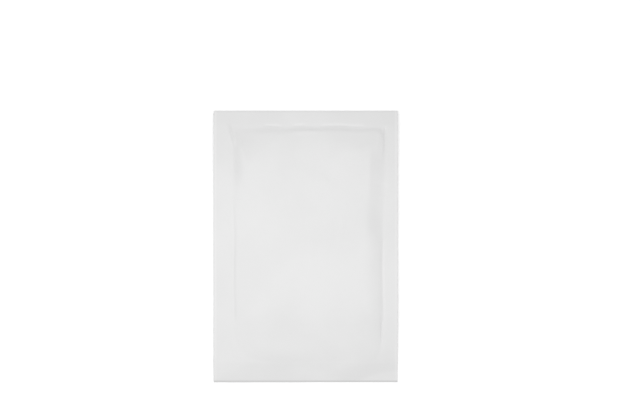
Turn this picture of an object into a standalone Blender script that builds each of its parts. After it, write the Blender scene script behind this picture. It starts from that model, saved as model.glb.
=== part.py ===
# Bubble mailer: a white film envelope with its flap folded under it, padded by a bubble lining inside.
# It lies on its back. X runs across it, Y from the bottom fold to the top fold, Z up from the floor.
# All lengths are in metres.

import math

import bmesh
import bpy
from mathutils import Matrix

# Envelope film
mailer_width = 0.180
mailer_height = 0.265
film_thickness = 0.0001
border_gap = 0.0004  # air between the two films in the flat border
side_seal_cover = 0.00015  # how far the bead of a side seal stands out past the films
layer_gap = 0.0003  # air between two pieces that lie on each other

# Flat border round the padding, and the slope on which the film climbs it
left_border = 0.0205
right_border = 0.0135
bottom_border = 0.0205
top_border = 0.0142
left_slope = 0.014
right_slope = 0.017
bottom_slope = 0.022
top_slope = 0.016
slope_steps = 6
border_lift = 0.0026  # how far the border floats above the underside of the padding
side_sag = 0.0008  # how much lower than that it hangs at its outer edges
bottom_sag = 0.0012
top_sag = 0.0024

# Mouth and flap
mouth_drop = 0.0033  # from the top fold down to the edge of the back panel
flap_length = 0.0645
lip_length = 0.0245
lip_shoulder = 0.0065  # width of the step on each side of the lip
lip_taper = 0.0105  # how much each side of the lip runs in towards its tip
lip_corner_radius = 0.003
lip_shoulder_radius = 0.006
trim_allowance = 0.002  # film beyond the lip, which the trimming die removes
fold_steps = 8

# Bubble lining
lining_film = 0.0001
lining_inset = 0.0031  # from the foot of the slope in to the sealed edge of the lining
lining_edge_gap = 0.0004  # air between its two films there, where they are crushed flat
lining_edge_rise = 0.00015  # how much higher than the border that edge floats
lining_seal_cover = 0.0001
bubble_height = 0.0026
bubble_radius = 0.005
bubble_top_radius = 0.0038
bubble_pitch = 0.0127
bubble_sides = 6
contents_gap = 0.0006  # between the bubbles of the two facing panels

# Adhesive strip and the release liner that covers it
adhesive_inset = 0.002  # from the corners of the lip's tip in to the ends of the glue
adhesive_depth = 0.018
adhesive_thickness = 0.0001
adhesive_from_tip = 0.003
liner_overhang = 0.0015
liner_thickness = 0.0001

# Re-open tape across the back panel
tape_width = 0.007
tape_thickness = 0.0001
tape_drop = 0.015  # from the edge of the back panel down to the tape
tape_inset = 0.001  # from the middle of a side seal in to the end of the tape

# Colours as (red, green, blue, alpha), with roughness
film_finish = ((0.83, 0.83, 0.83, 1.0), 0.38)
lining_finish = ((0.86, 0.89, 0.91, 1.0), 0.22)
adhesive_finish = ((0.80, 0.78, 0.66, 1.0), 0.30)
liner_finish = ((0.82, 0.82, 0.79, 1.0), 0.20)
tape_finish = ((0.72, 0.73, 0.74, 1.0), 0.30)

# Places that follow from the sizes above
half_width = mailer_width / 2
bottom_y = -mailer_height / 2
top_y = mailer_height / 2
mouth_y = top_y - mouth_drop
border_spread = film_thickness + border_gap  # between the middles of the two films
side_seal_diameter = border_spread + film_thickness + 2 * side_seal_cover
film_half_width = half_width - side_seal_diameter / 2
left_foot_x = left_border - half_width
right_foot_x = half_width - right_border
bottom_foot_y = bottom_y + bottom_border
top_foot_y = top_y - top_border
pad_left_x = left_foot_x + left_slope
pad_right_x = right_foot_x - right_slope
pad_bottom_y = bottom_foot_y + bottom_slope
pad_top_y = top_foot_y - top_slope
pad_middle_x = (pad_left_x + pad_right_x) / 2
pad_middle_y = (pad_bottom_y + pad_top_y) / 2
lip_base_x = half_width - lip_shoulder
lip_tip_x = lip_base_x - lip_taper
flap_tip_y = top_y - flap_length
lip_shoulder_y = flap_tip_y + lip_length

# Distances between the middles of two layers
lining_offset = film_thickness / 2 + layer_gap + lining_film / 2
lining_edge_spread = lining_film + lining_edge_gap
lining_pad_spread = lining_film + 2 * bubble_height + contents_gap
pad_spread = lining_pad_spread + 2 * lining_offset
tape_offset = film_thickness / 2 + layer_gap + tape_thickness / 2

# The padding rests on its own bottom edge and on the folded flap, so it leans a little.
flap_z = film_thickness / 2
adhesive_z = film_thickness + layer_gap
liner_z = adhesive_z + adhesive_thickness + layer_gap
flap_stack = liner_z + liner_thickness + layer_gap
lean = flap_stack / (flap_tip_y - pad_bottom_y)


def fullness(x, y, inset=0.0):
    # Share of the full height of the padding, for film whose edge lies inset from the crease
    # at its foot. It climbs steeply from there and levels out.
    share = min(
        (x - left_foot_x - inset) / (left_slope - inset),
        (right_foot_x - x - inset) / (right_slope - inset),
        (y - bottom_foot_y - inset) / (bottom_slope - inset),
        (top_foot_y - y - inset) / (top_slope - inset),
        1.0,
    )
    share = max(share, 0.0)
    return share * (2 - share)


def underside(y):
    return film_thickness / 2 + lean * max(y - pad_bottom_y, 0.0)


def sag(x, y):
    # How far the border hangs below the crease, growing evenly towards its outer edge
    left_share = max(left_foot_x - x, 0.0) / left_border
    right_share = max(x - right_foot_x, 0.0) / right_border
    bottom_share = max(bottom_foot_y - y, 0.0) / bottom_border
    top_share = max(y - top_foot_y, 0.0) / top_border
    sides = side_sag * (left_share + right_share)
    return sides + bottom_sag * bottom_share + top_sag * top_share


def back_film(x, y):
    return underside(y) + border_lift * (1 - fullness(x, y)) - sag(x, y)


def front_film(x, y):
    return back_film(x, y) + border_spread + (pad_spread - border_spread) * fullness(x, y)


def back_lining(x, y):
    lift = (border_lift + lining_edge_rise) * (1 - fullness(x, y, lining_inset))
    return underside(y) + lining_offset + lift


def front_lining(x, y):
    growth = lining_pad_spread - lining_edge_spread
    return back_lining(x, y) + lining_edge_spread + growth * fullness(x, y, lining_inset)


def back_tape(x, y):
    return back_film(x, y) - tape_offset


def flap_film(x, y):
    return flap_z


def bends(low, high, feet, slopes, inset):
    # Places from low to high at which film is bent, with the lines where the slopes change
    shares = [step / slope_steps for step in range(slope_steps + 1)]
    rising = [feet[0] + inset + (slopes[0] - inset) * share for share in shares]
    falling = [feet[1] - inset - (slopes[1] - inset) * share for share in shares]
    places = rising + falling[::-1]
    return [low] + [at for at in places if low + layer_gap < at < high - layer_gap] + [high]


def lines_across(low, high, inset=0.0):
    return bends(low, high, (left_foot_x, right_foot_x), (left_slope, right_slope), inset)


def lines_up(low, high, inset=0.0):
    return bends(low, high, (bottom_foot_y, top_foot_y), (bottom_slope, top_slope), inset)


def panel_rows(surface, heights):
    return [lambda x, y=y: (y, surface(x, y)) for y in heights]


def fold_rows(first, second, start_y, reach):
    # Half a turn of film from one surface to another, bulging by reach along Y
    def row(x, angle):
        start, end = first(x, start_y), second(x, start_y)
        turn = (start + end) / 2 - (end - start) / 2 * math.cos(angle)
        return start_y + reach * math.sin(angle), turn

    angles = [math.pi * step / fold_steps for step in range(1, fold_steps)]
    return [lambda x, angle=angle: row(x, angle) for angle in angles]


def crease_towards_middle(bm):
    # The slopes meet in a crease that runs from each corner towards the middle of the padding.
    for face in list(bm.faces):
        if abs(face.normal.z) < 0.5:
            continue
        centre = face.calc_center_median()
        side = math.copysign(1.0, (centre.x - pad_middle_x) * (centre.y - pad_middle_y))
        ends = sorted(face.verts, key=lambda vert: vert.co.x + side * vert.co.y)
        bmesh.utils.face_split(face, ends[0], ends[-1])


def link_mesh(name, bm, collection):
    mesh = bpy.data.meshes.new(name)
    bm.to_mesh(mesh)
    bm.free()
    made = bpy.data.objects.new(name, mesh)
    collection.objects.link(made)
    return made


def bent_sheet(name, columns, rows, thickness, collection):
    # A grid whose columns stand at the given X and whose rows give (y, z) for an X, made into film
    bm = bmesh.new()
    bmesh.ops.create_grid(bm, x_segments=len(columns) - 1, y_segments=len(rows) - 1, size=1.0)
    for vert in bm.verts:
        column = round((vert.co.x + 1) / 2 * (len(columns) - 1))
        row = round((vert.co.y + 1) / 2 * (len(rows) - 1))
        x = columns[column]
        vert.co = (x, *rows[row](x))
    bm.normal_update()
    crease_towards_middle(bm)
    for face in bm.faces:
        face.smooth = True
    made = link_mesh(name, bm, collection)
    made.data.set_sharp_from_angle(angle=math.radians(40))
    solidify = made.modifiers.new("film_thickness", "SOLIDIFY")
    solidify.thickness = thickness
    solidify.offset = 0.0
    solidify.use_even_offset = True
    return made


def curve_through(points, dimensions):
    curve = bpy.data.curves.new("outline", "CURVE")
    curve.dimensions = dimensions
    spline = curve.splines.new("POLY")
    spline.points.add(len(points) - 1)
    for target, point in zip(spline.points, points):
        target.co = (*point, 1.0)
    return curve


def solid_from_curve(curve, weld):
    # The mesh of a curve's tube or plate, with its loose caps welded on
    guide = bpy.data.objects.new("guide", curve)
    bpy.context.scene.collection.objects.link(guide)
    evaluated = guide.evaluated_get(bpy.context.evaluated_depsgraph_get())
    bm = bmesh.new()
    bm.from_mesh(bpy.data.meshes.new_from_object(evaluated))
    bmesh.ops.remove_doubles(bm, verts=bm.verts, dist=weld)
    bpy.data.objects.remove(guide)
    return bm


def seal_tube(name, points, diameter, collection):
    # The round bead that a hot wire leaves along a sealed edge
    curve = curve_through(points, "3D")
    curve.bevel_depth = diameter / 2
    curve.bevel_resolution = 2
    curve.use_fill_caps = True
    return link_mesh(name, solid_from_curve(curve, diameter / 100), collection)


def join(target, other, operation):
    boolean = target.modifiers.new(other.name, "BOOLEAN")
    boolean.operation = operation
    boolean.object = other
    other.hide_render = True
    other.display_type = "WIRE"


def side_seals(name, sides, heights, surfaces, diameter, collection):
    back, front = surfaces
    made = []
    for x, word in zip(sides, ("left", "right")):
        points = [(x, y, (back(x, y) + front(x, y)) / 2) for y in heights]
        made.append(seal_tube(f"{name}_{word}", points, diameter, collection))
    return made


def lip_trimmer(collection):
    # The die that trims the flap's end to its lip: all that lies outside the outline is cut away.
    beyond_x = half_width + trim_allowance
    beyond_y = flap_tip_y - 2 * trim_allowance
    right = [
        (lip_tip_x, flap_tip_y),
        (lip_base_x, lip_shoulder_y),
        (beyond_x, lip_shoulder_y),
        (beyond_x, beyond_y),
    ]
    left = [(-x, y) for x, y in right[::-1]]
    over = film_thickness + layer_gap / 2
    curve = curve_through([(x, y, 0.0) for x, y in right + left], "2D")
    curve.splines[0].use_cyclic_u = True
    curve.fill_mode = "BOTH"
    curve.extrude = over
    bm = solid_from_curve(curve, film_thickness / 10)
    for corner_x, corner_y, radius in (
        (lip_base_x, lip_shoulder_y, lip_shoulder_radius),
        (lip_tip_x, flap_tip_y, lip_corner_radius),
    ):
        corners = [edge for edge in bm.edges if stands_at(edge, corner_x, corner_y)]
        bmesh.ops.bevel(bm, geom=corners, offset=radius / 2, segments=4, profile=0.5, affect="EDGES")
    return link_mesh("lip_trimmer", bm, collection)


def stands_at(edge, x, y):
    # True for an upright edge at this place of the outline, on either side
    first, second = (vert.co for vert in edge.verts)
    close = film_thickness / 2
    upright = (first.xy - second.xy).length < close
    return upright and abs(abs(first.x) - x) < close and abs(first.y - y) < close


def make_envelope(parts, cutters):
    # One web of film: back panel, bottom fold, front panel, top fold and flap
    bottom_reach = border_spread / 2
    bottom_start = bottom_y + film_thickness / 2 + bottom_reach
    top_reach = (front_film(0, top_y) - flap_z) / 2
    top_start = top_y - film_thickness / 2 - top_reach
    untrimmed_y = flap_tip_y - trim_allowance
    rows = panel_rows(back_film, lines_up(bottom_start, mouth_y))[::-1]
    rows += fold_rows(back_film, front_film, bottom_start, -bottom_reach)
    rows += panel_rows(front_film, lines_up(bottom_start, top_start))
    rows += fold_rows(front_film, flap_film, top_start, top_reach)
    rows += panel_rows(flap_film, [top_start, lip_shoulder_y + lip_shoulder_radius, untrimmed_y])
    sides = (-film_half_width, film_half_width)
    envelope = bent_sheet("film_envelope", lines_across(*sides), rows, film_thickness, parts)
    join(envelope, lip_trimmer(cutters), "DIFFERENCE")
    seal_low = bottom_y + film_thickness / 2
    seal_high = mouth_y + side_seal_diameter / 2
    heights = (seal_low, bottom_foot_y, pad_bottom_y, top_foot_y, seal_high)
    surfaces = (back_film, front_film)
    seals = side_seals("side_seal", sides, heights, surfaces, side_seal_diameter, cutters)
    for seal in seals:
        join(envelope, seal, "UNION")
    return envelope


def bubble_centres():
    reach_x = (pad_right_x - pad_left_x) / 2 - bubble_radius
    reach_y = (pad_top_y - pad_bottom_y) / 2 - bubble_radius
    row_pitch = bubble_pitch * math.sqrt(3) / 2
    rows = math.floor(reach_y / row_pitch)
    centres = []
    for row in range(-rows, rows + 1):
        shift = bubble_pitch / 2 * (row % 2)
        count = math.floor((reach_x - shift) / bubble_pitch)
        places = [shift + bubble_pitch * number for number in range(count + 1)]
        across = sorted({place * side for place in places for side in (-1, 1)})
        centres += [(pad_middle_x + x, pad_middle_y + row * row_pitch) for x in across]
    return centres


def bubble_field(name, surface, inward, collection):
    # Bubbles stand on a lining panel and point inward, which is 1 for up and -1 for down.
    height = lining_film / 2 + bubble_height
    bm = bmesh.new()
    for x, y in bubble_centres():
        bmesh.ops.create_cone(
            bm,
            segments=bubble_sides,
            radius1=bubble_radius,
            radius2=bubble_top_radius,
            depth=height,
            cap_ends=True,
            matrix=Matrix.Translation((x, y, height / 2)),
        )
    for vert in bm.verts:
        vert.co.z = surface(vert.co.x, vert.co.y) + inward * vert.co.z
    bm.normal_update()
    bmesh.ops.recalc_face_normals(bm, faces=bm.faces)
    return link_mesh(name, bm, collection)


def make_lining(parts, cutters):
    # One web of bubble film, folded at the bottom and sealed at its sides, open at the mouth
    sides = (left_foot_x + lining_inset, right_foot_x - lining_inset)
    low = bottom_foot_y + lining_inset
    high = top_foot_y - lining_inset
    reach = lining_edge_spread / 2
    heights = lines_up(low + reach, high, lining_inset)
    seal_heights = (low + reach, pad_bottom_y, high)
    rows = panel_rows(back_lining, heights)[::-1]
    rows += fold_rows(back_lining, front_lining, low + reach, -reach)
    rows += panel_rows(front_lining, heights)
    columns = lines_across(*sides, lining_inset)
    lining = bent_sheet("bubble_lining", columns, rows, lining_film, parts)
    diameter = lining_edge_spread + lining_film + 2 * lining_seal_cover
    surfaces = (back_lining, front_lining)
    for seal in side_seals("lining_seal", sides, seal_heights, surfaces, diameter, cutters):
        join(lining, seal, "UNION")
    join(lining, bubble_field("back_bubbles", back_lining, 1, cutters), "UNION")
    join(lining, bubble_field("front_bubbles", front_lining, -1, cutters), "UNION")
    return lining


def flat_strip(name, width, depth, thickness, low_y, low_z):
    centre = (0.0, low_y + depth / 2, low_z + thickness / 2)
    bpy.ops.mesh.primitive_cube_add(size=1.0, location=centre)
    strip = bpy.context.object
    strip.name = name
    strip.scale = (width, depth, thickness)
    bpy.ops.object.transform_apply(location=False, rotation=False, scale=True)
    return strip


def make_closure():
    low_y = flap_tip_y + adhesive_from_tip
    width = 2 * (lip_tip_x - adhesive_inset)
    adhesive = flat_strip(
        "adhesive_strip", width, adhesive_depth, adhesive_thickness, low_y, adhesive_z
    )
    liner = flat_strip(
        "release_liner",
        width + 2 * liner_overhang,
        adhesive_depth + 2 * liner_overhang,
        liner_thickness,
        low_y - liner_overhang,
        liner_z,
    )
    return adhesive, liner


def make_tape(parts):
    high = mouth_y - tape_drop
    rows = panel_rows(back_tape, lines_up(high - tape_width, high))
    end_x = film_half_width - tape_inset
    columns = lines_across(-end_x, end_x)
    return bent_sheet("reopen_tape", columns, rows, tape_thickness, parts)


def paint(made, finish):
    colour, roughness = finish
    material = bpy.data.materials.new(made.name + "_finish")
    material.use_nodes = True
    shader = material.node_tree.nodes["Principled BSDF"]
    shader.inputs["Base Color"].default_value = colour
    shader.inputs["Roughness"].default_value = roughness
    shader.inputs["Metallic"].default_value = 0.0
    material.diffuse_color = colour
    made.data.materials.append(material)


def new_collection(name):
    collection = bpy.data.collections.new(name)
    bpy.context.scene.collection.children.link(collection)
    return collection


def main():
    for old in list(bpy.data.objects):
        bpy.data.objects.remove(old)
    parts = new_collection("bubble_mailer")
    cutters = new_collection("tools")
    envelope = make_envelope(parts, cutters)
    lining = make_lining(parts, cutters)
    adhesive, liner = make_closure()
    tape = make_tape(parts)
    for strip in (adhesive, liner):
        for holder in list(strip.users_collection):
            holder.objects.unlink(strip)
        parts.objects.link(strip)
    paint(envelope, film_finish)
    paint(lining, lining_finish)
    paint(adhesive, adhesive_finish)
    paint(liner, liner_finish)
    paint(tape, tape_finish)


main()
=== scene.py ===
import math

import bmesh
import bpy
import numpy as np
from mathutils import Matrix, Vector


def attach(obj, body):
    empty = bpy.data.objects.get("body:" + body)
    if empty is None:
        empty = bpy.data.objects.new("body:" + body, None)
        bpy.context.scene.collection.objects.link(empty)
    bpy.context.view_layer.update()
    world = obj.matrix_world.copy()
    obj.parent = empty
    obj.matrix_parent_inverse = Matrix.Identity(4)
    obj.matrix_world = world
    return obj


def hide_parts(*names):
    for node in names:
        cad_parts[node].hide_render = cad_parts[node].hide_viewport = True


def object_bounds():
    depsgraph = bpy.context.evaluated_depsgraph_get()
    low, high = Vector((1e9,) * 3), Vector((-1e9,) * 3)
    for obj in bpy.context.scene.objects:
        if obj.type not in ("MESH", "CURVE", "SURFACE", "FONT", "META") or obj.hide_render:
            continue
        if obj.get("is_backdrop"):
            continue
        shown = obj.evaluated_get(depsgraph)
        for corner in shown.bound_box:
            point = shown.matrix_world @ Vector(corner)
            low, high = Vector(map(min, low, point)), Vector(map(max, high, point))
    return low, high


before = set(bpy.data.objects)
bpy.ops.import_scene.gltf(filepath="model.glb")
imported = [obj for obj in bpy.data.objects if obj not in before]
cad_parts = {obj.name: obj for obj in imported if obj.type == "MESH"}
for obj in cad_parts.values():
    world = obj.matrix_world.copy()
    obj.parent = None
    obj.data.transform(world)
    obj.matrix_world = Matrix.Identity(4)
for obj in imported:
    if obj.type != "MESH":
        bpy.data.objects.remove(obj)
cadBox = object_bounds()
print("frame loaded:", ", ".join(sorted(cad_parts)))


class Wire:
    # one output in a node tree; sums on it add Math nodes

    def __init__(self, nodes, socket):
        self.nodes = nodes
        self.socket = socket

    def math(self, operation, *others):
        values = dict(enumerate((self,) + others))
        return self.nodes.add("ShaderNodeMath", {"operation": operation}, values)

    def __add__(self, other):
        return self.math("ADD", other)

    __radd__ = __add__

    def __mul__(self, other):
        return self.math("MULTIPLY", other)

    __rmul__ = __mul__

    def __sub__(self, other):
        return self.math("SUBTRACT", other)

    def __rsub__(self, other):
        return (self * -1) + other

    def __pow__(self, other):
        return self.math("POWER", other)

    def __abs__(self):
        return self.math("ABSOLUTE")

    def __mod__(self, other):
        return self.math("FLOORED_MODULO", other)


class Nodes:
    # the node tree of one material

    def __init__(self, name):
        self.material = bpy.data.materials.new(name)
        self.material.use_nodes = True
        self.tree = self.material.node_tree
        self.shader = self.tree.nodes["Principled BSDF"]
        self.output = self.tree.nodes["Material Output"]

    def add(self, kind, settings=None, values=None, output=0):
        node = self.tree.nodes.new(kind)
        for name, value in (settings or {}).items():
            setattr(node, name, value)
        for name, value in (values or {}).items():
            self.plug(node.inputs[name], value)
        return Wire(self, node.outputs[output])

    def plug(self, target, value):
        if isinstance(value, Wire):
            self.tree.links.new(value.socket, target)
        else:
            target.default_value = value

    def set(self, **values):
        for name, value in values.items():
            self.plug(self.shader.inputs[name.replace("_", " ")], value)

    def place(self):
        # object coordinates in metres, as three wires
        at = self.add("ShaderNodeTexCoord", output="Object")
        split = self.add("ShaderNodeSeparateXYZ", values={"Vector": at}).socket.node
        return at, [Wire(self, output) for output in split.outputs]

    def stretch(self, at, scale):
        return self.add("ShaderNodeMapping", values={"Vector": at, "Scale": scale})

    def noise(self, at, scale, detail, roughness=0.5):
        values = {"Vector": at, "Scale": scale, "Detail": detail, "Roughness": roughness}
        return self.add("ShaderNodeTexNoise", values=values)

    def between(self, wire, low, high, start=0.0, end=1.0):
        # start below low, end above high, and a soft step between
        values = {"Value": wire, "From Min": low, "From Max": high, "To Min": start, "To Max": end}
        return self.add("ShaderNodeMapRange", {"interpolation_type": "SMOOTHSTEP"}, values)

    def below(self, wire, low, high):
        # 1 below low, 0 above high
        return self.between(wire, low, high, 1.0, 0.0)

    def mix(self, mask, first, second):
        # colours, blended by a mask from 0 to 1
        values = {"Factor": mask, 6: first, 7: second}
        return self.add("ShaderNodeMix", {"data_type": "RGBA"}, values, output=2)

    def bump(self, height):
        # height in metres
        values = {"Height": height, "Distance": 1.0, "Strength": 1.0}
        self.set(Normal=self.add("ShaderNodeBump", values=values))


def grey(value, warm=0.0):
    return (value + warm, value, value - warm, 1.0)


ink = (0.012, 0.012, 0.013, 1.0)


mailer = {
    "width": 0.180,
    "height": 0.265,
    "filmThickness": 0.0001,
    "sealDiameter": 0.0009,
    "borderSpread": 0.0005,  # between the middles of the two films in the flat border
    "borderLift": 0.0026,  # how far the border floats above the underside of the padding
    "padSpread": 0.0067,  # between the middles of the two films over the padding
    "lean": 0.0012 / 0.158,  # the padding leans on the folded flap
    "leanFrom": -0.090,
    "mouthDrop": 0.0033,
    "flapLength": 0.0645,
}

# a pair of places without a note runs from where something starts to where it is full

field = {  # the padded field, as borders round it and slopes up to it, read from the photo
    "leftFoot": (-0.0704, -0.0717),  # lower down, and near the top
    "rightFoot": (0.0748, 0.0779),
    "bottomFoot": -0.1120,
    "topFoot": 0.1172,
    "leftSlope": (0.0600, 0.0150),  # how wide each slope is
    "rightSlope": (0.0185, 0.0178),
    "bottomSlope": 0.0720,
    "topSlope": (0.0360, 0.0250),  # at the left, and at the right
    "upperFrom": (0.020, 0.070),  # along y, from the lower values to the upper ones
    "rightFrom": (-0.045, 0.0),  # along x, from the left value to the right one
    "cornerSharpness": 4.5,
    "soft": [  # where a slope starts and ends softly, and how much so
        {"most": 0.85, "x": [(-0.030, -0.052)], "y": [(0.035, 0.060)]},
        {"most": 0.25, "y": [(-0.066, -0.080)]},
        {"most": 0.75, "x": [(0.030, 0.050)], "y": [(-0.005, 0.022)]},
    ],
    "steps": [  # where a share of the height is climbed steeply, over which part of the slope
        {
            "most": 0.10,
            "x": [(-0.030, -0.060)],
            "y": [(0.055, 0.020), (-0.078, -0.058)],
            "over": (0.0, 0.05),
        },
        {
            "most": 0.27,
            "x": [(-0.080, -0.030)],
            "y": [(0.080, 0.100)],
            "over": (0.05, 0.20),
        },
    ],
    "leftWaves": [(0.00035, 0.011, 1.0)],  # size, length over two pi, and start
    "rightWaves": [(0.00035, 0.014, 0.0)],
    "bottomWaves": [(0.00070, 0.023, 0.0)],
    "topWaves": [(0.00035, 0.0125, 0.6), (0.00035, 0.0058, 2.0)],
}

sag = {  # how far the border hangs below the crease
    "sides": 0.0004,
    "bottom": (0.001785, 0.002415),  # at the left, and at the right
    "bottomFrom": (-0.050, 0.020),  # along x
    "top": 0.0007,
    "borders": (0.0205, 0.0135, 0.0205, 0.0142),  # widths at the left, right, bottom and top
    "softStart": 0.0040,  # the border leaves the crease level and bends down over this distance
    "lostToStart": 0.0036,  # which costs it this much of its width
    "corner": 0.0015,  # more at the lower right corner
    "cornerLift": 0.0013,  # and the right border rises before that
    "cornerX": (0.030, 0.085),
    "cornerY": (-0.062, -0.122),
    "liftY": (0.0, -0.060),
    "curl": 0.0004,  # the last 2 mm at the bottom fold turn down
    "curlFrom": (0.0024, 0.0002),  # as distances from the fold
    "roll": 0.0002,  # how much the soft fold there stands open
    "rollFrom": (0.009, 0.001),
    "rollSides": 0.012,  # but less so near the side seals
}

topY = mailer["height"] / 2
filmX = mailer["width"] / 2 - mailer["sealDiameter"] / 2
mouthY = topY - mailer["mouthDrop"]
flapTipY = topY - mailer["flapLength"]


def smooth(value, low, high):
    share = np.clip((value - low) / (high - low), 0.0, 1.0)
    return share * share * (3 - 2 * share)


def blend(ends, share):
    first, last = ends
    return first + (last - first) * share


def waves(seed, count, shortest, longest):
    # a calm random field of about -1 to 1, made of a few sine waves
    dice = np.random.default_rng(seed)
    lengths = dice.uniform(shortest, longest, count)
    ways = dice.uniform(0, math.pi, count)
    starts = dice.uniform(0, 2 * math.pi, count)
    sizes = dice.uniform(0.5, 1.0, count)

    def height(x, y):
        total = 0.0
        for length, way, start, size in zip(lengths, ways, starts, sizes):
            along = x * math.cos(way) + y * math.sin(way)
            total = total + size * np.sin(2 * math.pi * along / length + start)
        return total / math.sqrt(count)

    return height


def sway(side, along):
    # no crease is quite straight
    bends = field[side + "Waves"]
    return sum(size * np.sin(along / length + start) for size, length, start in bends)


def distancesIn(x, y):
    # how far in from the four creases at the foot of the padding, and each slope's width
    x, y = np.asarray(x, dtype=float), np.asarray(y, dtype=float)
    upper = smooth(y, *field["upperFrom"])
    left = x - blend(field["leftFoot"], upper) - sway("left", y)
    right = blend(field["rightFoot"], upper) - x + sway("right", y)
    bottom = y - field["bottomFoot"] - sway("bottom", x)
    top = field["topFoot"] - y + sway("top", x)
    slopes = (
        blend(field["leftSlope"], upper),
        blend(field["rightSlope"], upper),
        field["bottomSlope"],
        blend(field["topSlope"], smooth(x, *field["rightFrom"])),
    )
    return (left, right, bottom, top), slopes


def inArea(x, y, area):
    # how much an area's setting counts at a place
    share = area["most"]
    for ends in area.get("x", ()):
        share = share * smooth(x, *ends)
    for ends in area.get("y", ()):
        share = share * smooth(y, *ends)
    return share


def fullness(x, y):
    # share of the padding's height; steep at the crease, level further in, round at corners
    distances, slopes = distancesIn(x, y)
    lacks = [1 - np.clip(distance / slope, 0.0, 1.0) for distance, slope in zip(distances, slopes)]
    sharp = field["cornerSharpness"]
    across = np.maximum(lacks[0], lacks[1])
    up = np.maximum(lacks[2], lacks[3])
    share = 1 - np.minimum((across**sharp + up**sharp) ** (1 / sharp), 1.0)
    soft = 0.0
    for area in field["soft"]:
        soft = np.maximum(soft, inArea(x, y, area))
    climb = (1 - soft) * share * (2 - share) + soft * share**2 * (3 - 2 * share)
    for area in field["steps"]:
        step = inArea(x, y, area)
        climb = (1 - step) * climb + step * smooth(share, *area["over"])
    return climb


def sinking(x, y):
    # how far the border hangs below the crease, both films together
    distances, _ = distancesIn(x, y)

    def share(inside, border):
        # zero at the crease, about one at the outer edge, with a soft start
        out = np.maximum(-inside, 0.0)
        return out * out / (out + sag["softStart"]) / (border - sag["lostToStart"])

    left, right, bottom, top = (share(*pair) for pair in zip(distances, sag["borders"]))
    bottomSag = blend(sag["bottom"], smooth(x, *sag["bottomFrom"]))
    edges = sag["sides"] * (left + right) + bottomSag * bottom + sag["top"] * top
    corner = (sag["corner"] + sag["cornerLift"]) * smooth(y, *sag["cornerY"])
    corner = (corner - sag["cornerLift"] * smooth(y, *sag["liftY"])) * smooth(x, *sag["cornerX"])
    return edges + corner + sag["curl"] * smooth(y + topY, *sag["curlFrom"])


def underside(y):
    lean = mailer["lean"] * np.maximum(y - mailer["leanFrom"], 0.0)
    return mailer["filmThickness"] / 2 + lean


film = {
    "edgeWave": 0.00035,  # the flat border is never quite flat
    "edgeWaveOut": (0.0, 0.012),  # from the crease outwards
    "edgeWaveBelow": (0.125, 0.105),
    "billow": 0.00026,  # how far the loose film stands off the padding
    "frontBillow": 0.6,
    "backBillow": 0.5,
    "backBillowBelow": (0.066, 0.055),  # the flap presses on the back above that
    "apart": 0.00022,  # least distance between the middles of the front and the back
    "creaseFade": (-0.15, 0.30),  # at both ends, in shares of a crease's length
    "valleyFade": 0.003,
    "valleyWidth": 0.0012,
    "valleyOut": 0.0007,  # from the crease out to the lowest line of each valley
    "highlightOut": 0.0016,  # and out to its rim, which carries a painted highlight
    "highlightWidth": 0.0008,
    "columnSteps": (0.0007, 0.0018),  # fine near the creases, coarse elsewhere
    "frontSteps": (0.0007, 0.0018),
    "backSteps": (0.0012, 0.0030),
    "flapSteps": (0.0030, 0.0030),
    "lipSteps": (0.0006, 0.0022),
    "lipFineReach": 0.006,
    "bottomFoldSteps": 10,
    "topFoldSteps": 14,
    "bottomReach": 0.0006,  # how far each fold bulges out
    "topReach": 0.0004,
    "lipLength": 0.0245,
    "lipShoulder": 0.0065,
    "lipTaper": 0.0105,
    "lipShoulderRadius": 0.0055,
    "lipShoulderBend": 0.45,  # share of a full round
    "lipCornerRadius": 0.0030,
    "lipCornerBend": 0.8,
    "lipBaseGap": 0.0002,  # between the last row of the flap and the first of its lip
}

valleys = [  # side (0 left, 1 right, 2 bottom, 3 top), from and to along it, depth and share of painted highlight
    {"side": 3, "from": -0.039, "to": -0.025, "depth": 0.00030, "highlightShare": 0.18},
    {"side": 3, "from": -0.011, "to": -0.001, "depth": 0.00034, "highlightShare": 0.18},
    {"side": 3, "from": 0.016, "to": 0.056, "depth": 0.00032, "highlightShare": 0.17},
    {"side": 1, "from": -0.074, "to": 0.006, "depth": 0.00034, "highlightShare": 0.10},
]

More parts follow.
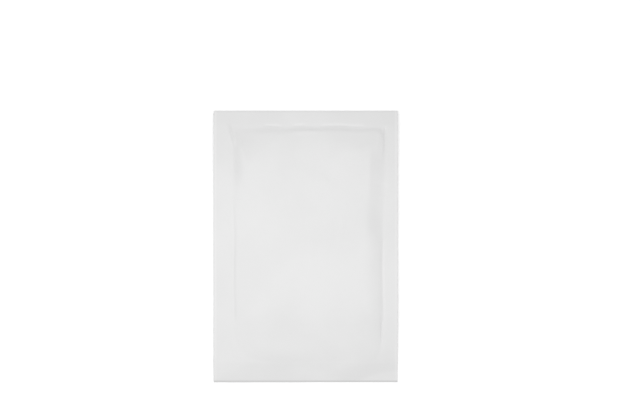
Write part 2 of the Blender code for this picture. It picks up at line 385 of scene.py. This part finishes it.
creases = [  # from, to, depth and width; below zero it is a valley
    {"from": (-0.0746, 0.1185), "to": (-0.0694, 0.1000), "depth": 0.00115, "width": 0.0012},
    {"from": (-0.0708, 0.1160), "to": (-0.0610, 0.0940), "depth": 0.00045, "width": 0.0014},
    {"from": (-0.0640, 0.1060), "to": (-0.0640, 0.0400), "depth": 0.00056, "width": 0.0050},
    {"from": (0.0776, 0.1165), "to": (0.0771, 0.1050), "depth": -0.00080, "width": 0.0012},
    {"from": (0.0722, 0.1150), "to": (0.0700, 0.0940), "depth": 0.00030, "width": 0.0016},
    {"from": (-0.0150, 0.1116), "to": (0.0150, 0.1124), "depth": 0.00050, "width": 0.0013},
    {"from": (0.0200, 0.1116), "to": (0.0740, 0.1108), "depth": 0.00016, "width": 0.0014},
    {"from": (0.0590, 0.0620), "to": (0.0800, 0.0590), "depth": -0.00034, "width": 0.0022},
    {"from": (0.0580, 0.0705), "to": (0.0770, 0.0700), "depth": 0.00022, "width": 0.0020},
    {"from": (0.0625, 0.1000), "to": (0.0618, 0.0480), "depth": 0.00026, "width": 0.0016},
    {"from": (0.0600, 0.0510), "to": (0.0780, 0.0490), "depth": 0.00022, "width": 0.0020},
    {"from": (0.0738, -0.0700), "to": (0.0742, -0.0940), "depth": -0.00090, "width": 0.0011},
    {"from": (-0.0700, 0.0560), "to": (-0.0698, -0.0820), "depth": -0.00018, "width": 0.0014},
    {"from": (0.0740, 0.0100), "to": (0.0738, -0.0720), "depth": -0.00024, "width": 0.0012},
    {"from": (0.0140, -0.1318), "to": (0.0260, -0.1275), "depth": -0.00022, "width": 0.0012},
    {"from": (0.0300, -0.1240), "to": (0.0800, -0.1020), "depth": 0.00060, "width": 0.0100},
    {"from": (-0.0480, -0.1060), "to": (0.0150, -0.1060), "depth": 0.00110, "width": 0.0120},
    {"from": (0.0120, 0.0260), "to": (0.0105, -0.0200), "depth": -0.00034, "width": 0.0040},
    {"from": (0.0400, 0.0420), "to": (0.0330, 0.0080), "depth": 0.00030, "width": 0.0034},
    {"from": (0.0360, 0.0100), "to": (0.0640, 0.0085), "depth": -0.00026, "width": 0.0026},
    {"from": (0.0100, 0.0820), "to": (0.0360, 0.0600), "depth": -0.00060, "width": 0.0080},
    {"from": (0.0420, -0.0140), "to": (0.0520, -0.0180), "depth": -0.00020, "width": 0.0026},
    {"from": (-0.0480, 0.0150), "to": (-0.0300, 0.0420), "depth": -0.00020, "width": 0.0060},
]


def creaseHeight(crease, x, y):
    # a straight crease that fades out towards its ends
    start, end = np.array(crease["from"]), np.array(crease["to"])
    length = np.linalg.norm(end - start)
    way = (end - start) / length
    along = ((x - start[0]) * way[0] + (y - start[1]) * way[1]) / length
    away = (x - start[0]) * way[1] - (y - start[1]) * way[0]
    fade = smooth(along, *film["creaseFade"]) * smooth(1 - along, *film["creaseFade"])
    return crease["depth"] * fade * np.exp(-((away / crease["width"]) ** 2))


borderWaves = waves(seed=3, count=7, shortest=0.045, longest=0.11)
frontWaves = waves(seed=8, count=9, shortest=0.035, longest=0.080)
backWaves = waves(seed=21, count=9, shortest=0.030, longest=0.080)


def edgeLift(x, y):
    # both films rise and fall together outside the padding, but not at the flap's fold
    distances, _ = distancesIn(x, y)
    outside = -np.minimum.reduce(distances[:3])
    share = smooth(outside, *film["edgeWaveOut"]) * smooth(y, *film["edgeWaveBelow"])
    return film["edgeWave"] * share * borderWaves(x, y) - sinking(x, y)


def alongCrease(x, y, out, width):
    # each valley with its share at a place: a soft line at some distance outside the crease
    distances, _ = distancesIn(x, y)
    fade = film["valleyFade"]
    for piece in valleys:
        outside = -distances[piece["side"]]
        along = x if piece["side"] > 1 else y
        run = smooth(along, piece["from"] - fade, piece["from"] + fade)
        run = run * smooth(along, piece["to"] + fade, piece["to"] - fade)
        yield piece, run * np.exp(-(((outside - out) / width) ** 2))


def valley(x, y):
    # the border dips sharply just before it climbs, in places, which catches the light
    lines = alongCrease(x, y, film["valleyOut"], film["valleyWidth"])
    return -sum(piece["depth"] * share for piece, share in lines)


def paintedHighlight(x, y):
    # painted highlight: the film is painted lighter along the outer rim of each valley, standing in
    # for the gloss a sharp crease catches
    lines = alongCrease(x, y, film["highlightOut"], film["highlightWidth"])
    return sum(piece["highlightShare"] * share for piece, share in lines)


def backFilm(x, y):
    full = fullness(x, y)
    loose = film["billow"] * full * film["backBillow"] * (1 + backWaves(x, y))
    loose = np.maximum(loose * smooth(y, *film["backBillowBelow"]), 0.0)
    roll = smooth(y + topY, *sag["rollFrom"]) * smooth(filmX - abs(x), 0.0, sag["rollSides"])
    height = underside(y) + mailer["borderLift"] * (1 - full) + edgeLift(x, y)
    height = height + loose - sag["roll"] * roll
    # a valley in the front presses the back down with it
    height = np.minimum(height, frontFilm(x, y) - film["apart"])
    return np.maximum(height, mailer["filmThickness"] / 2)


def frontRest(x, y):
    # the front film as the padding alone would hold it
    full = fullness(x, y)
    low = underside(y) + mailer["borderLift"] * (1 - full) + edgeLift(x, y)
    spread = mailer["borderSpread"] + (mailer["padSpread"] - mailer["borderSpread"]) * full
    return np.maximum(low, mailer["filmThickness"] / 2) + spread


def frontFilm(x, y):
    loose = film["billow"] * fullness(x, y) * (film["frontBillow"] + frontWaves(x, y))
    folds = sum(creaseHeight(crease, x, y) for crease in creases)
    return frontRest(x, y) + loose + valley(x, y) + folds


def flapFilm(x, y):
    return mailer["filmThickness"] / 2 + 0.0 * x


def spaced(low, high, steps, fineAt=(), reach=0.004):
    # places from low to high, close together round each place in fineAt
    places = [low]
    while places[-1] < high:
        near = min((abs(places[-1] - at) for at in fineAt), default=1.0)
        step = steps[0] if near < reach else steps[1]
        places.append(places[-1] + step)
    places = np.array(places)
    return low + (places - low) * (high - low) / (places[-1] - low)


def lipHalfWidth(y):
    # half the flap's width: shoulders, a hollow corner, the taper and the round tip corners
    base = flapTipY + film["lipLength"]
    if y > base:
        return filmX

    def rounding(radius, away):
        # how far a round corner stands off its straight line, at a distance from its end
        near = max(radius - away, 0.0)
        return radius - math.sqrt(max(radius**2 - near**2, 0.0))

    half = mailer["width"] / 2 - film["lipShoulder"]
    half -= film["lipTaper"] * (base - y) / film["lipLength"]
    half += film["lipShoulderBend"] * rounding(film["lipShoulderRadius"], base - y)
    half -= film["lipCornerBend"] * rounding(film["lipCornerRadius"], y - flapTipY)
    return min(half, filmX)


def halfTurn(first, second, startY, reach, x, steps):
    # rows round a fold, from one surface to the other
    rows = []
    start, end = first(x, startY), second(x, startY)
    for step in range(1, steps):
        angle = math.pi * step / steps
        height = (start + end) / 2 - (end - start) / 2 * math.cos(angle)
        rows.append((x, np.full_like(x, startY + reach * math.sin(angle)), height))
    return rows


def gridOf(name, rows):
    # a sheet through rows of places, each given as its x, y and z
    bpy.ops.object.select_all(action="DESELECT")
    across, along = len(rows[0][0]) - 1, len(rows) - 1
    bpy.ops.mesh.primitive_grid_add(x_subdivisions=across, y_subdivisions=along, size=1)
    sheet = bpy.context.object
    sheet.name = name
    places = np.stack(rows).transpose(0, 2, 1).astype(np.float32)
    sheet.data.vertices.foreach_set("co", places.ravel())
    sheet.data.update()
    return sheet


def thicken(sheet, thickness, even):
    wall = sheet.modifiers.new("wall", "SOLIDIFY")
    wall.thickness = thickness
    wall.offset = 0.0
    wall.use_even_offset = even
    bpy.ops.object.modifier_apply(modifier=wall.name)


def makeFilm():
    footX = (*field["leftFoot"], *field["rightFoot"], -filmX, filmX)
    footY = (field["bottomFoot"], field["topFoot"])
    x = spaced(-filmX, filmX, film["columnSteps"], footX)
    bottomStart = -topY + mailer["filmThickness"] / 2 + film["bottomReach"]
    topStart = topY - mailer["filmThickness"] / 2 - film["topReach"]

    def panel(surface, heights):
        return [(x, np.full_like(x, y), surface(x, np.full_like(x, y))) for y in heights]

    back = panel(backFilm, spaced(bottomStart, mouthY, film["backSteps"], footY)[::-1])
    foldSteps = film["bottomFoldSteps"]
    bottom = halfTurn(backFilm, frontFilm, bottomStart, -film["bottomReach"], x, foldSteps)
    front = panel(frontFilm, spaced(bottomStart, topStart, film["frontSteps"], footY))
    top = halfTurn(frontFilm, flapFilm, topStart, film["topReach"], x, film["topFoldSteps"])
    base = flapTipY + film["lipLength"]
    flapRows = list(spaced(base + film["lipBaseGap"], topStart, film["flapSteps"])[::-1])
    lipRows = spaced(flapTipY, base, film["lipSteps"], (flapTipY, base), film["lipFineReach"])
    flapRows += list(lipRows[::-1])
    flap = []
    for y in flapRows:
        wide = x * (lipHalfWidth(y) / filmX)
        flap.append((wide, np.full_like(x, y), flapFilm(wide, y)))
    rows = back + bottom + front + top + flap

    web = gridOf("filmWeb", rows)
    marks = np.zeros((2, len(rows), len(x)), dtype=np.float32)
    marks[0, : len(back) + foldSteps // 2] = 1.0
    first = len(back) + len(bottom)
    # share of painted highlight along each crease rim, kept on the front film
    marks[1, first : first + len(front)] = [paintedHighlight(row[0], row[1]) for row in front]
    for name, values in zip(("onBack", "highlightShare"), marks):
        layer = web.data.attributes.new(name, "FLOAT", "POINT")
        layer.data.foreach_set("value", values.ravel())
    thicken(web, mailer["filmThickness"], even=True)
    bpy.ops.object.shade_smooth()
    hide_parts("film_envelope")
    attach(web, "root")
    print("film web:", len(x), "columns,", len(rows), "rows,", len(web.data.polygons), "faces")
    return web


web = makeFilm()


seal = {"radius": 0.00042, "roughness": 0.12, "step": 0.0022, "sides": 3, "weld": 0.00001}


def makeBead(name, x, seed):
    dice = np.random.default_rng(seed)
    low = -topY + mailer["filmThickness"] / 2
    y = np.arange(low, mouthY + seal["radius"], seal["step"])
    sides = np.full_like(y, x)
    z = np.maximum((backFilm(sides, y) + frontFilm(sides, y)) / 2, seal["radius"])
    curve = bpy.data.curves.new(name, "CURVE")
    curve.dimensions = "3D"
    curve.bevel_depth = seal["radius"]
    curve.bevel_resolution = seal["sides"]
    curve.use_fill_caps = True
    spline = curve.splines.new("POLY")
    spline.points.add(len(y) - 1)
    for point, place in zip(spline.points, zip(sides, y, z)):
        point.co = (*place, 1.0)
        point.radius = 1.0 - seal["roughness"] * dice.random()
    bead = bpy.data.objects.new(name, curve)
    bpy.context.scene.collection.objects.link(bead)
    bpy.ops.object.select_all(action="DESELECT")
    bead.select_set(True)
    bpy.context.view_layer.objects.active = bead
    bpy.ops.object.convert(target="MESH")
    bead = bpy.context.object
    bpy.ops.object.mode_set(mode="EDIT")
    bpy.ops.mesh.select_all(action="SELECT")
    bpy.ops.mesh.remove_doubles(threshold=seal["weld"])
    bpy.ops.mesh.normals_make_consistent(inside=False)
    bpy.ops.object.mode_set(mode="OBJECT")
    bpy.ops.object.shade_smooth()
    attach(bead, "root")
    return bead


beads = [makeBead("sealBeadLeft", -filmX, seed=5), makeBead("sealBeadRight", filmX, seed=6)]
print("side seals:", ", ".join(bead.name for bead in beads))


pad = {
    "inset": 0.0045,  # from the crease in the film in to the pad's own sealed edge
    "edgeSpread": 0.00014,  # the two panels are sealed together at their sides
    "opensOver": 0.0030,  # from there in to where they stand fully apart
    "gapToFilm": 0.0004,
    "filmThickness": 0.0001,
    "foldReach": 0.0006,
    "foldSteps": 6,
    "bubbleRadius": 0.005,
    "bubbleHeight": 0.0026,
    "bubblePitch": 0.0127,
    "bubbleSides": 14,
    "bubbleTop": 0.86,  # how wide its top is, against its foot
    "bubbleRound": 0.0014,
    "bubbleRings": 3,
    "bubbleAir": 0.0004,  # between the bubbles of the two panels
    "leastHeight": 0.1,  # of a squashed bubble, as a share
    "middle": (0.0020, 0.00615),  # of the field of bubbles
    "reach": (0.0525, 0.0911),
    "cornerRadius": 0.016,
    "step": 0.0024,
    "smoothBelow": 50,  # degrees
    "fill": 0.35,
}


def padSides():
    return field["leftFoot"][0] + pad["inset"], field["rightFoot"][0] - pad["inset"]


def padPanels(x, y):
    # both panels follow the films round them, and meet at the sealed sides
    low = backFilm(x, y) + pad["gapToFilm"]
    high = np.minimum(frontRest(x, y), frontFilm(x, y)) - pad["gapToFilm"]
    left, right = padSides()
    opening = smooth(np.minimum(x - left, right - x), 0.0, pad["opensOver"])
    middle = (low + high) / 2
    half = pad["edgeSpread"] / 2 + np.maximum(high - low - pad["edgeSpread"], 0.0) / 2 * opening
    return middle - half, middle + half


def backPad(x, y):
    return padPanels(x, y)[0]


def frontPad(x, y):
    return padPanels(x, y)[1]


def padRoom(x, y):
    # share of its full height that a bubble has here, as the slopes squash those at the edges
    low, high = padPanels(x, y)
    room = (high - low - pad["filmThickness"] - pad["bubbleAir"]) / 2
    return np.clip(room / pad["bubbleHeight"], pad["leastHeight"], 1.0)


def bubblePlaces():
    (middleX, middleY), (reachX, reachY) = pad["middle"], pad["reach"]
    pitch = pad["bubblePitch"]
    rowPitch = pitch * math.sqrt(3) / 2
    rows = math.floor(reachY / rowPitch)
    for row in range(-rows, rows + 1):
        shift = pitch / 2 * (row % 2)
        count = math.floor((reachX - shift) / pitch)
        halves = [shift + pitch * number for number in range(count + 1)]
        for x in sorted({half * side for half in halves for side in (-1, 1)}):
            yield middleX + x, middleY + row * rowPitch


def makeBubble():
    # one bubble that stands on the floor, rounded at its top
    bpy.ops.object.select_all(action="DESELECT")
    bpy.ops.mesh.primitive_cylinder_add(
        vertices=pad["bubbleSides"],
        radius=pad["bubbleRadius"],
        depth=pad["bubbleHeight"],
        location=(0, 0, pad["bubbleHeight"] / 2),
    )
    bubble = bpy.context.object
    bpy.ops.object.transform_apply(location=True, rotation=False, scale=False)
    bpy.ops.object.mode_set(mode="EDIT")
    bpy.ops.mesh.select_mode(type="FACE")
    bpy.ops.mesh.select_all(action="DESELECT")
    cage = bmesh.from_edit_mesh(bubble.data)
    for face in cage.faces:
        face.select = face.normal.z > 0.9
    bmesh.update_edit_mesh(bubble.data)
    bpy.ops.transform.resize(value=(pad["bubbleTop"], pad["bubbleTop"], 1.0))
    bpy.ops.mesh.select_mode(type="EDGE")
    bpy.ops.mesh.bevel(offset=pad["bubbleRound"], segments=pad["bubbleRings"], affect="EDGES")
    bpy.ops.object.mode_set(mode="OBJECT")
    return bubble


def bubbleField(name, shape, surface, way, places):
    # copies of the bubble on a panel, pointing up (1) or down (-1)
    points = np.array([vert.co for vert in shape.vertices])
    spots = np.array(places)
    x = points[:, 0] + spots[:, :1]
    y = points[:, 1] + spots[:, 1:]
    z = surface(x, y) + way * points[:, 2] * padRoom(x, y)
    faces = [
        [first + index for index in list(face.vertices)[::way]]
        for first in range(0, x.size, len(points))
        for face in shape.polygons
    ]
    mesh = bpy.data.meshes.new(name)
    mesh.from_pydata(np.stack((x, y, z), axis=2).reshape(-1, 3).tolist(), [], faces)
    made = bpy.data.objects.new(name, mesh)
    bpy.context.scene.collection.objects.link(made)
    return made


def makePad():
    low, high = field["bottomFoot"] + pad["inset"], field["topFoot"] - pad["inset"]
    left, right = padSides()
    steps = (pad["step"], pad["step"])
    x, heights = spaced(left, right, steps), spaced(low, high, steps)
    middle, half = (left + right) / 2, (right - left) / 2

    def across(y):
        # the columns, drawn in towards the middle at the round corners
        radius = pad["cornerRadius"]
        near = np.clip(min(y - low, high - y) / radius, 0.0, 1.0)
        return middle + (x - middle) * (1 - radius / half * (1 - math.sqrt(near * (2 - near))))

    def panel(surface, places):
        for y in places:
            columns, level = across(y), np.full_like(x, y)
            yield columns, level, surface(columns, level)

    rows = list(panel(backPad, heights[::-1]))
    rows += halfTurn(backPad, frontPad, low, -pad["foldReach"], across(low), pad["foldSteps"])
    rows += panel(frontPad, heights)
    lining = gridOf("bubblePad", rows)
    thicken(lining, pad["filmThickness"], even=False)
    bubble = makeBubble()
    places = list(bubblePlaces())
    fields = [
        bubbleField("backBubbles", bubble.data, backPad, 1, places),
        bubbleField("frontBubbles", bubble.data, frontPad, -1, places),
    ]
    bpy.data.objects.remove(bubble)
    bpy.ops.object.select_all(action="DESELECT")
    for one in fields + [lining]:
        one.select_set(True)
    bpy.context.view_layer.objects.active = lining
    bpy.ops.object.join()
    bpy.ops.object.shade_smooth_by_angle(angle=math.radians(pad["smoothBelow"]))
    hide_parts("bubble_lining")
    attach(lining, "root")
    print("bubble pad:", 2 * len(places), "bubbles,", len(lining.data.polygons), "faces")
    return lining


lining = makePad()


# in each look, a bump is in metres, and a pair of places is where a soft step starts and ends

filmLook = {
    "colours": (grey(0.815), grey(0.845)),
    "roughness": (0.36, 0.46),
    "edgeColour": grey(0.87),  # of a strip beside each side seal
    "edgeShare": 0.6,
    "edgeStarts": (0.0866, 0.0872),
    "edgeEnds": (0.0889, 0.0894),
    # painted highlight along the crease rims
    "highlightColour": grey(0.93),
    "foldShadeColour": grey(0.70),  # painted shade: darker along the bottom fold, where the film turns down into shade
    "foldShadeWidth": (0.0015, 0.0022),
    "grain": 0.000006,
    "streaks": 0.000008,
    "dimples": 0.000035,
    "imprint": 0.000010,
    "imprintRadius": (0.0028, 0.0058),
    "imprintX": (0.052, 0.060),
    "imprintY": (0.090, 0.098),
    "cornerMark": (0.0043, 0.0240),  # wide and tall
    "markBlur": 0.0001,
}


def bubbleImprint(nodes, x, y):
    # faint round swellings where the bubbles press on the film from inside
    pitch = pad["bubblePitch"]
    rise = pitch * math.sqrt(3)
    middleX, middleY = pad["middle"]

    def nearest(shiftX, shiftY):
        offX = (x - middleX + shiftX + pitch / 2) % pitch - pitch / 2
        offY = (y - middleY + shiftY + rise / 2) % rise - rise / 2
        return (offX * offX + offY * offY) ** 0.5

    distance = nearest(0.0, 0.0).math("MINIMUM", nearest(pitch / 2, rise / 2))
    inside = nodes.below(abs(x - middleX), *filmLook["imprintX"])
    inside = inside * nodes.below(abs(y - middleY), *filmLook["imprintY"])
    return nodes.below(distance, *filmLook["imprintRadius"]) * inside


def filmMaterial():
    nodes = Nodes("whiteFilm")
    at, (x, y, _) = nodes.place()
    onBack = nodes.add("ShaderNodeAttribute", {"attribute_name": "onBack"}, output="Fac")
    clouds = nodes.noise(at, 14.0, 3.0)
    colour = nodes.mix(nodes.between(clouds, 0.35, 0.65), *filmLook["colours"])
    strip = nodes.between(abs(x), *filmLook["edgeStarts"])
    strip = strip * nodes.below(abs(x), *filmLook["edgeEnds"])
    colour = nodes.mix(strip * filmLook["edgeShare"], colour, filmLook["edgeColour"])
    # painted highlight: lighter colour along the outer rim of each valley
    highlightShare = nodes.add("ShaderNodeAttribute", {"attribute_name": "highlightShare"}, output="Fac")
    colour = nodes.mix(highlightShare, colour, filmLook["highlightColour"])
    # painted shade: darker colour along the bottom fold
    foldShade = nodes.below(y, *(width - topY for width in filmLook["foldShadeWidth"]))
    colour = nodes.mix(foldShade, colour, filmLook["foldShadeColour"])
    wide, tall = filmLook["cornerMark"]
    right, top, blur = wide - mailer["width"] / 2, tall - topY, filmLook["markBlur"]
    mark = nodes.below(x, right - blur, right + blur) * nodes.below(y, top - blur, top + blur)
    mark = mark * nodes.between(onBack, 0.4, 0.6)
    colour = nodes.mix(mark, colour, ink)
    fine = nodes.noise(at, 900.0, 2.0)
    streaks = nodes.noise(nodes.stretch(at, (1.0, 0.05, 1.0)), 420.0, 3.0)
    dimples = nodes.noise(at, 70.0, 2.0)
    height = fine * filmLook["grain"] + streaks * filmLook["streaks"]
    height = height + dimples * filmLook["dimples"]
    height = height + bubbleImprint(nodes, x, y) * filmLook["imprint"]
    gloss = nodes.between(clouds, 0.3, 0.7, *filmLook["roughness"])
    nodes.set(Base_Color=colour, Roughness=gloss)
    nodes.bump(height)
    return nodes.material


beadLook = {"colours": (grey(0.86), grey(0.90)), "roughness": (0.22, 0.36), "lumps": 0.00006}


def beadMaterial():
    nodes = Nodes("meltedSeal")
    at, _ = nodes.place()
    lumps = nodes.noise(at, 700.0, 3.0)
    colour = nodes.mix(nodes.between(lumps, 0.35, 0.65), *beadLook["colours"])
    gloss = nodes.between(lumps, 0.3, 0.7, *beadLook["roughness"])
    nodes.set(Base_Color=colour, Roughness=gloss)
    nodes.bump(lumps * beadLook["lumps"])
    return nodes.material


padLook = {
    "colours": ((0.80, 0.84, 0.87, 1.0), (0.88, 0.91, 0.93, 1.0)),
    "roughness": (0.14, 0.28),
    "creases": 0.00004,
}


def padMaterial():
    nodes = Nodes("clearBubbleFilm")
    at, _ = nodes.place()
    clouds = nodes.noise(at, 90.0, 3.0)
    colour = nodes.mix(nodes.between(clouds, 0.3, 0.7), *padLook["colours"])
    creased = nodes.noise(at, 380.0, 4.0, 0.6)
    gloss = nodes.between(creased, 0.3, 0.7, *padLook["roughness"])
    nodes.set(Base_Color=colour, Roughness=gloss)
    nodes.bump(creased * padLook["creases"])
    return nodes.material


glueLook = {
    "colours": ((0.82, 0.79, 0.62, 1.0), (0.80, 0.78, 0.68, 1.0)),
    "roughness": (0.18, 0.34),
    "clouds": 0.00002,
    "lines": 0.00001,
}


def glueMaterial():
    nodes = Nodes("pressureGlue")
    at, _ = nodes.place()
    clouds = nodes.noise(at, 120.0, 3.0)
    lines = nodes.noise(nodes.stretch(at, (0.04, 1.0, 1.0)), 1500.0, 2.0)
    colour = nodes.mix(nodes.between(clouds, 0.35, 0.65), *glueLook["colours"])
    gloss = nodes.between(clouds, 0.3, 0.7, *glueLook["roughness"])
    nodes.set(Base_Color=colour, Roughness=gloss)
    nodes.bump(clouds * glueLook["clouds"] + lines * glueLook["lines"])
    return nodes.material


linerLook = {
    "colours": (grey(0.80, 0.006), grey(0.84, 0.003)),
    "roughness": (0.12, 0.24),
    "ripples": 0.00003,
}


def linerMaterial():
    nodes = Nodes("releaseFilm")
    at, _ = nodes.place()
    clouds = nodes.noise(at, 60.0, 2.0)
    ripples = nodes.noise(nodes.stretch(at, (1.0, 0.15, 1.0)), 160.0, 2.0)
    colour = nodes.mix(nodes.between(clouds, 0.35, 0.65), *linerLook["colours"])
    gloss = nodes.between(ripples, 0.3, 0.7, *linerLook["roughness"])
    nodes.set(Base_Color=colour, Roughness=gloss)
    nodes.bump(ripples * linerLook["ripples"])
    return nodes.material


tapeLook = {
    "colours": (grey(0.70), grey(0.75)),
    "roughness": (0.20, 0.34),
    "belowMouth": 0.0185,  # down to the tape's middle
    "pitch": 0.0638,  # from one group of bars to the next
    "printed": 0.0350,
    "barPitch": 0.0055,
    "barWidth": 0.0026,
    "barHeight": 0.0021,  # half of it
    "blur": 0.0002,
    "waves": 0.00002,
}


def tapeMaterial():
    # a semi-clear tape with groups of plain arrow bars that point along it
    nodes = Nodes("tearTapeFilm")
    at, (x, y, _) = nodes.place()
    middle, blur = mouthY - tapeLook["belowMouth"], tapeLook["blur"]
    pitch, reach = tapeLook["pitch"], tapeLook["printed"] / 2
    off = (x + pitch / 2) % pitch - pitch / 2
    group = nodes.below(abs(off), reach - blur, reach)
    slant = (x + abs(y - middle)) % tapeLook["barPitch"]
    bars = nodes.below(slant, tapeLook["barWidth"], tapeLook["barWidth"] + blur)
    band = nodes.below(abs(y - middle), tapeLook["barHeight"] - blur / 2, tapeLook["barHeight"])
    clouds = nodes.noise(at, 160.0, 3.0)
    colour = nodes.mix(nodes.between(clouds, 0.3, 0.7), *tapeLook["colours"])
    colour = nodes.mix(group * bars * band, colour, ink)
    gloss = nodes.between(clouds, 0.3, 0.7, *tapeLook["roughness"])
    nodes.set(Base_Color=colour, Roughness=gloss)
    nodes.bump(clouds * tapeLook["waves"])
    return nodes.material


def dress(piece, material):
    piece.data.materials.clear()
    piece.data.materials.append(material)


dress(web, filmMaterial())
meltedSeal = beadMaterial()
for bead in beads:
    dress(bead, meltedSeal)
dress(lining, padMaterial())
dress(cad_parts["adhesive_strip"], glueMaterial())
dress(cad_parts["release_liner"], linerMaterial())
dress(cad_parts["reopen_tape"], tapeMaterial())
print("materials:", len(bpy.data.materials))


studio = {
    "floorColours": (grey(0.88), grey(0.90)),
    "floorGlow": (0.34, 0.40),  # near the mailer and far out, seen by the camera and in gloss only
    "glowFrom": (0.15, 0.40),
    "floorSize": 6.0,
    "floorDrop": 0.0002,
    "worldLight": 0.68,
    "lampPower": 0.572,
    "lampSize": (0.50, 0.28),
    "lampPlace": (-0.060, -0.016, 0.410),
    "lens": 100.0,
    "sensor": 36.0,
    "viewWidth": 0.6241,  # what the photo's 640 pixels span at the mailer
    "aim": (0.01394, 0.0455),
    "aimHeight": 0.003,
}


def makeFloor():
    bpy.ops.object.select_all(action="DESELECT")
    bpy.ops.mesh.primitive_plane_add(size=studio["floorSize"], location=(0, 0, -studio["floorDrop"]))
    floor = bpy.context.object
    floor.name = "studioFloor"
    nodes = Nodes("paleFloor")
    at, (x, y, _) = nodes.place()
    speck = nodes.noise(at, 40.0, 2.0)
    colour = nodes.mix(nodes.between(speck, 0.3, 0.7), *studio["floorColours"])
    nodes.set(Base_Color=colour, Roughness=0.9)
    ray = nodes.add("ShaderNodeLightPath").socket.node
    seen = Wire(nodes, ray.outputs["Is Camera Ray"])
    seen = seen.math("MAXIMUM", Wire(nodes, ray.outputs["Is Glossy Ray"]))
    seen = seen.math("MAXIMUM", Wire(nodes, ray.outputs["Is Transmission Ray"]))
    away = (x * x + y * y) ** 0.5
    far = nodes.between(away, *studio["glowFrom"], *studio["floorGlow"])
    glow = nodes.add("ShaderNodeEmission", values={"Strength": seen * far})
    plain = Wire(nodes, nodes.shader.outputs[0])
    both = nodes.add("ShaderNodeAddShader", values={0: plain, 1: glow})
    nodes.plug(nodes.output.inputs["Surface"], both)
    dress(floor, nodes.material)
    floor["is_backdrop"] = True


def makeLight():
    world = bpy.data.worlds.new("studioAir")
    world.use_nodes = True
    tree = world.node_tree
    air = tree.nodes["Background"]
    air.inputs["Color"].default_value = grey(1.0)
    ray = tree.nodes.new("ShaderNodeLightPath")
    seen = ray.outputs["Is Camera Ray"]
    for name in ("Is Glossy Ray", "Is Transmission Ray"):
        either = tree.nodes.new("ShaderNodeMath")
        either.operation = "MAXIMUM"
        tree.links.new(seen, either.inputs[0])
        tree.links.new(ray.outputs[name], either.inputs[1])
        seen = either.outputs[0]
    level = tree.nodes.new("ShaderNodeMapRange")
    level.inputs["To Min"].default_value = studio["worldLight"]
    level.inputs["To Max"].default_value = 1.0
    tree.links.new(seen, level.inputs["Value"])
    tree.links.new(level.outputs["Result"], air.inputs["Strength"])
    bpy.context.scene.world = world
    bpy.ops.object.light_add(type="AREA", location=studio["lampPlace"])
    lamp = bpy.context.object
    lamp.name = "softBox"
    lamp.data.shape = "RECTANGLE"
    lamp.data.size, lamp.data.size_y = studio["lampSize"]
    lamp.data.energy = studio["lampPower"]


def makeCamera():
    distance = studio["viewWidth"] * studio["lens"] / studio["sensor"]
    place = (*studio["aim"], studio["aimHeight"] + distance)
    bpy.ops.object.camera_add(location=place, rotation=(0, 0, 0))
    camera = bpy.context.object
    camera.name = "photoCamera"
    camera.data.lens = studio["lens"]
    camera.data.sensor_width = studio["sensor"]
    bpy.context.scene.camera = camera


makeFloor()
makeLight()
makeCamera()
bpy.context.scene.view_settings.view_transform = "Standard"
print("studio ready")

boxes = {"cad": cadBox, "visual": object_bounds()}
{name: [list(map(float, corner)) for corner in box] for name, box in boxes.items()}
